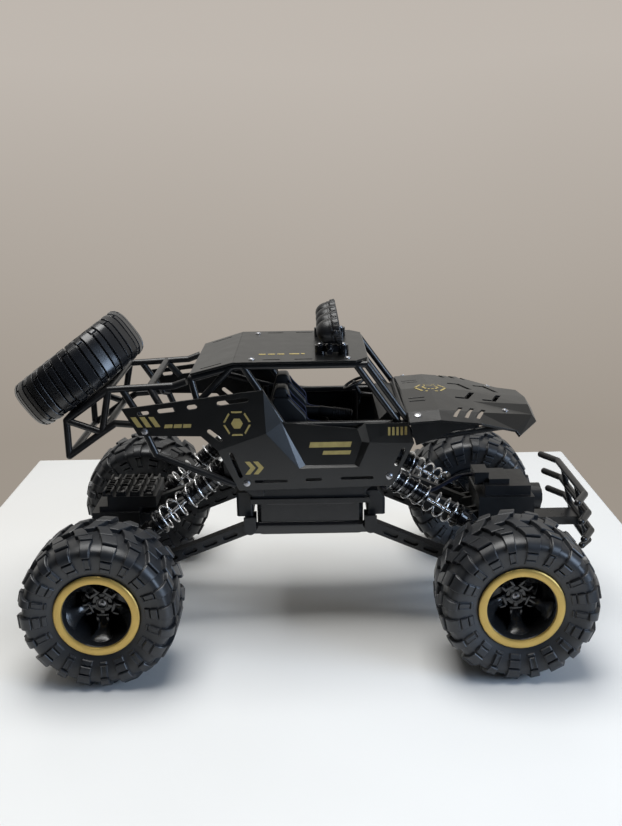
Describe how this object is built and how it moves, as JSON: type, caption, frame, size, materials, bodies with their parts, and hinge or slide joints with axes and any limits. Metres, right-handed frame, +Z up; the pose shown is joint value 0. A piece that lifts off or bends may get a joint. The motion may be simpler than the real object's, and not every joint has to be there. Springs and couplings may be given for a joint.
{
  "type": "rc monster truck",
  "caption": "Radio-controlled rock crawler truck with live axles on links and coil shocks, steered front wheels, open cage cabin, light bar and rear spare wheel.",
  "frame": {"origin": "on the ground under the middle of the truck's length and width", "axes": "+X points to the front bumper, +Y to the truck's left side, +Z up"},
  "size_m": [0.3994, 0.245, 0.2184],
  "materials": {
    "black_plastic": "satin",
    "gloss_black": "gloss",
    "painted_sheet": "satin",
    "tyre_rubber": "matte",
    "gold_ring": "satin",
    "steel_screw": "bright",
    "chrome_spring": "polished",
    "chrome_shaft": "polished",
    "lamp_lens": "clear",
    "gear_metal": "machined",
    "motor_can": "satin",
    "battery_wrap": "satin",
    "board_green": "satin",
    "lead_sleeve": "satin"
  },
  "bodies": {
    "chassis": {"chassis_tub": "black_plastic", "battery_cover": "gloss_black", "battery_pack": "battery_wrap", "circuit_board": "board_green", "side_panel_right": "painted_sheet", "side_panel_left": "painted_sheet", "hood_panel": "painted_sheet", "roof_panel": "painted_sheet", "roll_cage": "black_plastic", "rear_rack": "black_plastic", "spare_tyre": "gloss_black", "spare_rim": "gloss_black", "cabin_interior": "black_plastic", "steering_wheel": "black_plastic", "seat_right": "black_plastic", "seat_left": "black_plastic", "panel_screws": "steel_screw", "light_bracket": "gloss_black", "lamp_housings": "gloss_black", "lamp_lenses": "lamp_lens"},
    "power_switch": {"power_switch": "gloss_black"},
    "front_lower_links": {"front_lower_links": "black_plastic", "motor_lead": "lead_sleeve"},
    "front_upper_links": {"front_upper_links": "black_plastic"},
    "front_axle": {"front_axle_housing": "black_plastic", "front_gearbox": "black_plastic", "front_motor": "motor_can", "front_bumper": "black_plastic"},
    "front_drive_gear": {"front_drive_gear": "gear_metal"},
    "front_pinion": {"front_pinion": "gear_metal"},
    "front_shock_bodies": {"front_shock_bodies": "gloss_black", "front_springs": "chrome_spring"},
    "front_shock_shafts": {"front_shock_shafts": "chrome_shaft"},
    "tie_rod": {"tie_rod": "black_plastic"},
    "knuckle_right": {"knuckle_right": "black_plastic"},
    "knuckle_left": {"knuckle_left": "black_plastic"},
    "front_right_wheel": {"front_right_tyre": "tyre_rubber", "front_right_rim": "gloss_black", "front_right_bead_ring": "gold_ring", "front_right_wheel_screw": "steel_screw"},
    "front_left_wheel": {"front_left_tyre": "tyre_rubber", "front_left_rim": "gloss_black", "front_left_bead_ring": "gold_ring", "front_left_wheel_screw": "steel_screw"},
    "rear_lower_links": {"rear_lower_links": "black_plastic"},
    "rear_upper_links": {"rear_upper_links": "black_plastic"},
    "rear_axle": {"rear_axle_housing": "black_plastic", "rear_gearbox": "black_plastic", "rear_motor": "motor_can"},
    "rear_pinion": {"rear_pinion": "gear_metal"},
    "rear_wheels": {"rear_drive_gear": "gear_metal", "rear_right_tyre": "tyre_rubber", "rear_left_tyre": "tyre_rubber", "rear_right_rim": "gloss_black", "rear_left_rim": "gloss_black", "rear_bead_rings": "gold_ring", "rear_wheel_screws": "steel_screw"},
    "rear_shock_bodies": {"rear_shock_bodies": "gloss_black", "rear_springs": "chrome_spring"},
    "rear_shock_shafts": {"rear_shock_shafts": "chrome_shaft"}
  },
  "joints": [
    {"name": "front_suspension", "type": "hinge", "parent": "chassis", "child": "front_lower_links", "pos_m": [0.044, 0, 0.077], "axis": [0, -1, 0], "range_deg": [-6, 12], "stiffness_Nm_per_rad": 3, "springref_deg": -8.59, "deforming": ["front_springs", "motor_lead"]},
    {"name": "front_axle_level", "type": "hinge", "parent": "front_lower_links", "child": "front_axle", "pos_m": [0.112, 0, 0.047], "axis": [0, -1, 0], "range_deg": [-12.5, 6.5]},
    {"name": "front_upper_link_swing", "type": "hinge", "parent": "chassis", "child": "front_upper_links", "pos_m": [0.048, 0, 0.101], "axis": [0, -1, 0], "range_deg": [-6.5, 12.5]},
    {"name": "front_shock_swing", "type": "hinge", "parent": "chassis", "child": "front_shock_bodies", "pos_m": [0.048, 0, 0.114], "axis": [0, -1, 0], "range_deg": [-6.5, 12.5], "deforming": ["front_springs"]},
    {"name": "front_shock_travel", "type": "slide", "parent": "front_shock_bodies", "child": "front_shock_shafts", "axis": [0.842, 0, -0.5394], "range_m": [-0.00252, 0.00131], "deforming": ["front_springs"]},
    {"name": "rear_suspension", "type": "hinge", "parent": "chassis", "child": "rear_lower_links", "pos_m": [-0.037, 0, 0.077], "axis": [0, 1, 0], "range_deg": [-6, 12], "stiffness_Nm_per_rad": 3, "springref_deg": -8.59, "deforming": ["rear_springs"]},
    {"name": "rear_axle_level", "type": "hinge", "parent": "rear_lower_links", "child": "rear_axle", "pos_m": [-0.106, 0, 0.05], "axis": [0, 1, 0], "range_deg": [-12.5, 6.5]},
    {"name": "rear_upper_link_swing", "type": "hinge", "parent": "chassis", "child": "rear_upper_links", "pos_m": [-0.041, 0, 0.101], "axis": [0, 1, 0], "range_deg": [-6.5, 12.5]},
    {"name": "rear_shock_swing", "type": "hinge", "parent": "chassis", "child": "rear_shock_bodies", "pos_m": [-0.048, 0, 0.122], "axis": [0, 1, 0], "range_deg": [-6.5, 12.5], "deforming": ["rear_springs"]},
    {"name": "rear_shock_travel", "type": "slide", "parent": "rear_shock_bodies", "child": "rear_shock_shafts", "axis": [-0.7639, 0, -0.6454], "range_m": [-0.00527, 0.00274], "deforming": ["rear_springs"]},
    {"name": "steering", "type": "hinge", "parent": "front_axle", "child": "knuckle_right", "pos_m": [0.1318, -0.062, 0.05], "axis": [0, 0, 1], "range_deg": [-22, 22]},
    {"name": "left_knuckle_turn", "type": "hinge", "parent": "front_axle", "child": "knuckle_left", "pos_m": [0.1318, 0.062, 0.05], "axis": [0, 0, 1], "range_deg": [-22.5, 22.5]},
    {"name": "tie_rod_shift", "type": "slide", "parent": "front_axle", "child": "tie_rod", "axis": [0, 1, 0], "range_m": [-0.0078, 0.0078]},
    {"name": "front_right_wheel_spin", "type": "hinge", "parent": "knuckle_right", "child": "front_right_wheel", "pos_m": [0.1318, -0.09575, 0.05], "axis": [0, 1, 0], "continuous": true},
    {"name": "front_left_wheel_spin", "type": "hinge", "parent": "knuckle_left", "child": "front_left_wheel", "pos_m": [0.1318, 0.09575, 0.05], "axis": [0, 1, 0], "continuous": true},
    {"name": "front_drive_gear_spin", "type": "hinge", "parent": "front_axle", "child": "front_drive_gear", "pos_m": [0.1318, 0, 0.05], "axis": [0, 1, 0], "continuous": true},
    {"name": "front_pinion_spin", "type": "hinge", "parent": "front_axle", "child": "front_pinion", "pos_m": [0.14037, 0, 0.06485], "axis": [0, 1, 0], "continuous": true},
    {"name": "rear_wheels_spin", "type": "hinge", "parent": "rear_axle", "child": "rear_wheels", "pos_m": [-0.1278, 0, 0.05], "axis": [0, 1, 0], "continuous": true},
    {"name": "rear_pinion_spin", "type": "hinge", "parent": "rear_axle", "child": "rear_pinion", "pos_m": [-0.13637, 0, 0.06485], "axis": [0, 1, 0], "continuous": true},
    {"name": "power_switch_slide", "type": "slide", "parent": "chassis", "child": "power_switch", "axis": [0, 1, 0], "range_m": [0, 0.004]}
  ],
  "couplings": [
    {"joint": "front_axle_level", "follows": "front_suspension", "ratio": -1},
    {"joint": "front_upper_link_swing", "follows": "front_suspension", "ratio": 1},
    {"joint": "front_shock_swing", "follows": "front_suspension", "ratio": 0.97586},
    {"joint": "front_shock_travel", "follows": "front_suspension", "m_per_rad": -0.011539},
    {"joint": "rear_axle_level", "follows": "rear_suspension", "ratio": -1},
    {"joint": "rear_upper_link_swing", "follows": "rear_suspension", "ratio": 1},
    {"joint": "rear_shock_swing", "follows": "rear_suspension", "ratio": 0.94261},
    {"joint": "rear_shock_travel", "follows": "rear_suspension", "m_per_rad": -0.024175},
    {"joint": "left_knuckle_turn", "follows": "steering", "ratio": 1},
    {"joint": "tie_rod_shift", "follows": "steering", "m_per_rad": 0.01951},
    {"joint": "front_left_wheel_spin", "follows": "front_right_wheel_spin", "ratio": 1},
    {"joint": "front_drive_gear_spin", "follows": "front_right_wheel_spin", "ratio": 1},
    {"joint": "front_pinion_spin", "follows": "front_right_wheel_spin", "ratio": -2.4},
    {"joint": "rear_pinion_spin", "follows": "rear_wheels_spin", "ratio": -2.4}
  ]
}
